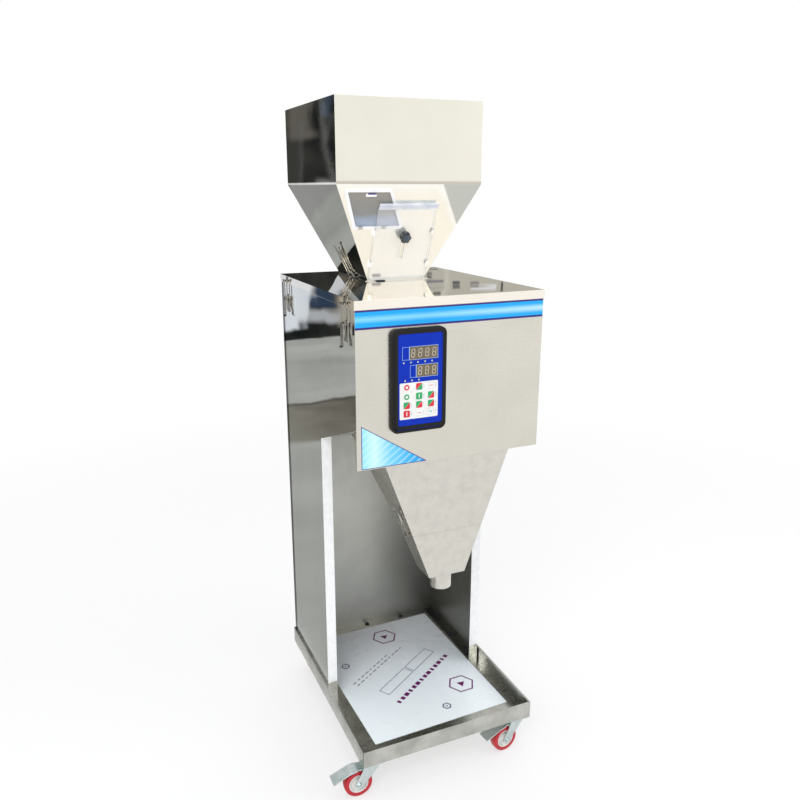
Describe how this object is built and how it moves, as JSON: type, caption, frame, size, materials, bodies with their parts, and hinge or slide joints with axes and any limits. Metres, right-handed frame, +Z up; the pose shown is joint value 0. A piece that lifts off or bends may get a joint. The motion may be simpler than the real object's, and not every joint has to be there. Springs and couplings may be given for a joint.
{
  "type": "auger powder filler",
  "caption": "Floor-standing powder weighing filler: hopper over a sheet-steel head with control panel, discharge funnel, open column and a tray on braked swivel casters.",
  "frame": {"origin": "on the floor, at the centre of the machine's footprint", "axes": "+Z up along the machine's height, -Y towards the operator, +X to the operator's right"},
  "size_m": [0.635, 0.676, 1.7],
  "materials": {
    "stainless": "bright annealed sheet",
    "mirror_stainless": "mirror polished sheet",
    "film": "protective film",
    "zinc": "bright zinc plate",
    "red_tread": "cast polyurethane",
    "bezel_black": "moulded",
    "overlay_blue": "printed film",
    "clear_plastic": "clear acrylic",
    "knob_black": "moulded",
    "motor_paint": "hammered paint",
    "aluminium": "milled",
    "switch_black": "moulded"
  },
  "bodies": {
    "root": {"base_tray": "stainless", "film_plate": "film", "left_side_panel": "mirror_stainless", "right_side_panel": "mirror_stainless", "back_panel": "stainless", "rear_cover": "stainless", "front_panel": "stainless", "head_floor": "stainless", "top_cover": "mirror_stainless", "hopper": "stainless", "window_frame": "stainless", "window_pane": "clear_plastic", "gate_clips": "stainless", "feed_trough": "stainless", "gear_motor": "motor_paint", "cross_beams": "stainless", "load_cell": "aluminium", "weigh_bucket": "stainless", "flap_motor": "motor_paint", "discharge_funnel": "stainless", "funnel_tip": "stainless", "control_housing": "bezel_black", "control_membrane": "overlay_blue", "power_inlet": "switch_black", "latch_bases": "zinc", "latch_keepers": "zinc", "caster_plates": "zinc"},
    "gate": {"gate_plate": "clear_plastic"},
    "knob": {"gate_knob": "knob_black"},
    "auger": {"auger": "stainless"},
    "flap": {"bucket_flap": "stainless"},
    "switch": {"power_switch": "switch_black"},
    "caster_front_left": {"caster_fork_front_left": "zinc"},
    "wheel_front_left": {"caster_wheel_front_left": "red_tread"},
    "pedal_front_left": {"brake_pedal_front_left": "zinc"},
    "caster_front_right": {"caster_fork_front_right": "zinc"},
    "wheel_front_right": {"caster_wheel_front_right": "red_tread"},
    "pedal_front_right": {"brake_pedal_front_right": "zinc"},
    "caster_rear_left": {"caster_fork_rear_left": "zinc"},
    "wheel_rear_left": {"caster_wheel_rear_left": "red_tread"},
    "pedal_rear_left": {"brake_pedal_rear_left": "zinc"},
    "caster_rear_right": {"caster_fork_rear_right": "zinc"},
    "wheel_rear_right": {"caster_wheel_rear_right": "red_tread"},
    "pedal_rear_right": {"brake_pedal_rear_right": "zinc"},
    "latch_head_front_left": {"latch_lever_head_front_left": "zinc"},
    "bail_head_front_left": {"latch_bail_head_front_left": "zinc"},
    "latch_head_front_right": {"latch_lever_head_front_right": "zinc"},
    "bail_head_front_right": {"latch_bail_head_front_right": "zinc"},
    "latch_head_back_left": {"latch_lever_head_back_left": "zinc"},
    "bail_head_back_left": {"latch_bail_head_back_left": "zinc"},
    "latch_head_back_right": {"latch_lever_head_back_right": "zinc"},
    "bail_head_back_right": {"latch_bail_head_back_right": "zinc"},
    "latch_hopper_left": {"latch_lever_hopper_left": "zinc"},
    "bail_hopper_left": {"latch_bail_hopper_left": "zinc"},
    "latch_hopper_right": {"latch_lever_hopper_right": "zinc"},
    "bail_hopper_right": {"latch_bail_hopper_right": "zinc"},
    "latch_funnel_left": {"latch_lever_funnel_left": "zinc"},
    "bail_funnel_left": {"latch_bail_funnel_left": "zinc"},
    "latch_funnel_right": {"latch_lever_funnel_right": "zinc"},
    "bail_funnel_right": {"latch_bail_funnel_right": "zinc"}
  },
  "joints": [
    {"name": "gate_slide", "type": "slide", "parent": "root", "child": "gate", "axis": [0, -0.3747, 0.9271], "range_m": [0, 0.06]},
    {"name": "gate_knob_turn", "type": "hinge", "parent": "root", "child": "knob", "pos_m": [0, -0.02629, 1.381], "axis": [0, -0.9271, -0.3747], "continuous": true},
    {"name": "auger_spin", "type": "hinge", "parent": "root", "child": "auger", "pos_m": [0, 0, 1.13], "axis": [0, 1, 0], "continuous": true},
    {"name": "bucket_flap_drop", "type": "hinge", "parent": "root", "child": "flap", "pos_m": [0, -0.128, 0.98], "axis": [1, 0, 0], "range_deg": [0, 60]},
    {"name": "switch_rock", "type": "hinge", "parent": "root", "child": "switch", "pos_m": [-0.15, 0.28065, 0.865], "axis": [1, 0, 0], "range_deg": [-20, 0]},
    {"name": "caster_swivel_front_left", "type": "hinge", "parent": "root", "child": "caster_front_left", "pos_m": [-0.213, -0.306, 0.09], "axis": [0, 0, 1], "continuous": true},
    {"name": "wheel_spin_front_left", "type": "hinge", "parent": "caster_front_left", "child": "wheel_front_left", "pos_m": [-0.24898, -0.30474, 0.0375], "axis": [-0.0349, -0.9994, 0], "continuous": true},
    {"name": "brake_pedal_press_front_left", "type": "hinge", "parent": "caster_front_left", "child": "pedal_front_left", "pos_m": [-0.23299, -0.3053, 0.0785], "axis": [-0.0349, -0.9994, 0], "range_deg": [0, 8]},
    {"name": "caster_swivel_front_right", "type": "hinge", "parent": "root", "child": "caster_front_right", "pos_m": [0.213, -0.306, 0.09], "axis": [0, 0, 1], "continuous": true},
    {"name": "wheel_spin_front_right", "type": "hinge", "parent": "caster_front_right", "child": "wheel_front_right", "pos_m": [0.17727, -0.31039, 0.0375], "axis": [0.1219, -0.9925, 0], "continuous": true},
    {"name": "brake_pedal_press_front_right", "type": "hinge", "parent": "caster_front_right", "child": "pedal_front_right", "pos_m": [0.19315, -0.30844, 0.0785], "axis": [0.1219, -0.9925, 0], "range_deg": [0, 8]},
    {"name": "caster_swivel_rear_left", "type": "hinge", "parent": "root", "child": "caster_rear_left", "pos_m": [-0.213, 0.248, 0.09], "axis": [0, 0, 1], "continuous": true},
    {"name": "wheel_spin_rear_left", "type": "hinge", "parent": "caster_rear_left", "child": "wheel_rear_left", "pos_m": [-0.18037, 0.23279, 0.0375], "axis": [0.4226, 0.9063, 0], "continuous": true},
    {"name": "brake_pedal_press_rear_left", "type": "hinge", "parent": "caster_rear_left", "child": "pedal_rear_left", "pos_m": [-0.19487, 0.23955, 0.0785], "axis": [0.4226, 0.9063, 0], "range_deg": [0, 8]},
    {"name": "caster_swivel_rear_right", "type": "hinge", "parent": "root", "child": "caster_rear_right", "pos_m": [0.213, 0.248, 0.09], "axis": [0, 0, 1], "continuous": true},
    {"name": "wheel_spin_rear_right", "type": "hinge", "parent": "caster_rear_right", "child": "wheel_rear_right", "pos_m": [0.24898, 0.24926, 0.0375], "axis": [-0.0349, 0.9994, 0], "continuous": true},
    {"name": "brake_pedal_press_rear_right", "type": "hinge", "parent": "caster_rear_right", "child": "pedal_rear_right", "pos_m": [0.23299, 0.2487, 0.0785], "axis": [-0.0349, 0.9994, 0], "range_deg": [0, 8]},
    {"name": "latch_open_head_front_left", "type": "hinge", "parent": "root", "child": "latch_head_front_left", "pos_m": [-0.2465, -0.255, 1.207], "axis": [0, 1, 0], "range_deg": [0, 100]},
    {"name": "bail_tilt_head_front_left", "type": "hinge", "parent": "latch_head_front_left", "child": "bail_head_front_left", "pos_m": [-0.245, -0.255, 1.1977], "axis": [0, 1, 0], "range_deg": [-88.5, 0]},
    {"name": "latch_open_head_front_right", "type": "hinge", "parent": "root", "child": "latch_head_front_right", "pos_m": [0.2465, -0.255, 1.207], "axis": [0, -1, 0], "range_deg": [0, 100]},
    {"name": "bail_tilt_head_front_right", "type": "hinge", "parent": "latch_head_front_right", "child": "bail_head_front_right", "pos_m": [0.245, -0.255, 1.1977], "axis": [0, -1, 0], "range_deg": [-88.5, 0]},
    {"name": "latch_open_head_back_left", "type": "hinge", "parent": "root", "child": "latch_head_back_left", "pos_m": [-0.2465, 0.211, 1.207], "axis": [0, 1, 0], "range_deg": [0, 100]},
    {"name": "bail_tilt_head_back_left", "type": "hinge", "parent": "latch_head_back_left", "child": "bail_head_back_left", "pos_m": [-0.245, 0.211, 1.1977], "axis": [0, 1, 0], "range_deg": [-88.5, 0]},
    {"name": "latch_open_head_back_right", "type": "hinge", "parent": "root", "child": "latch_head_back_right", "pos_m": [0.2465, 0.211, 1.207], "axis": [0, -1, 0], "range_deg": [0, 100]},
    {"name": "bail_tilt_head_back_right", "type": "hinge", "parent": "latch_head_back_right", "child": "bail_head_back_right", "pos_m": [0.245, 0.211, 1.1977], "axis": [0, -1, 0], "range_deg": [-88.5, 0]},
    {"name": "latch_open_hopper_left", "type": "hinge", "parent": "root", "child": "latch_hopper_left", "pos_m": [-0.10816, 0.131, 1.3087], "axis": [0, -1, 0], "range_deg": [0, 100]},
    {"name": "bail_tilt_hopper_left", "type": "hinge", "parent": "latch_hopper_left", "child": "bail_hopper_left", "pos_m": [-0.11039, 0.131, 1.31639], "axis": [0, -1, 0], "range_deg": [-88.5, 0]},
    {"name": "latch_open_hopper_right", "type": "hinge", "parent": "root", "child": "latch_hopper_right", "pos_m": [0.10816, 0.131, 1.3087], "axis": [0, 1, 0], "range_deg": [0, 100]},
    {"name": "bail_tilt_hopper_right", "type": "hinge", "parent": "latch_hopper_right", "child": "bail_hopper_right", "pos_m": [0.11039, 0.131, 1.31639], "axis": [0, 1, 0], "range_deg": [-88.5, 0]},
    {"name": "latch_open_funnel_left", "type": "hinge", "parent": "root", "child": "latch_funnel_left", "pos_m": [-0.11281, -0.272, 0.71578], "axis": [0, -1, 0], "range_deg": [0, 100]},
    {"name": "bail_tilt_funnel_left", "type": "hinge", "parent": "latch_funnel_left", "child": "bail_funnel_left", "pos_m": [-0.11438, -0.272, 0.72363], "axis": [0, -1, 0], "range_deg": [-88.5, 0]},
    {"name": "latch_open_funnel_right", "type": "hinge", "parent": "root", "child": "latch_funnel_right", "pos_m": [0.11281, -0.272, 0.71578], "axis": [0, 1, 0], "range_deg": [0, 100]},
    {"name": "bail_tilt_funnel_right", "type": "hinge", "parent": "latch_funnel_right", "child": "bail_funnel_right", "pos_m": [0.11438, -0.272, 0.72363], "axis": [0, 1, 0], "range_deg": [-88.5, 0]}
  ],
  "couplings": [
    {"joint": "bail_tilt_head_front_left", "follows": "latch_open_head_front_left", "ratio": -0.88},
    {"joint": "bail_tilt_head_front_right", "follows": "latch_open_head_front_right", "ratio": -0.88},
    {"joint": "bail_tilt_head_back_left", "follows": "latch_open_head_back_left", "ratio": -0.88},
    {"joint": "bail_tilt_head_back_right", "follows": "latch_open_head_back_right", "ratio": -0.88},
    {"joint": "bail_tilt_hopper_left", "follows": "latch_open_hopper_left", "ratio": -0.88},
    {"joint": "bail_tilt_hopper_right", "follows": "latch_open_hopper_right", "ratio": -0.88},
    {"joint": "bail_tilt_funnel_left", "follows": "latch_open_funnel_left", "ratio": -0.88},
    {"joint": "bail_tilt_funnel_right", "follows": "latch_open_funnel_right", "ratio": -0.88}
  ]
}
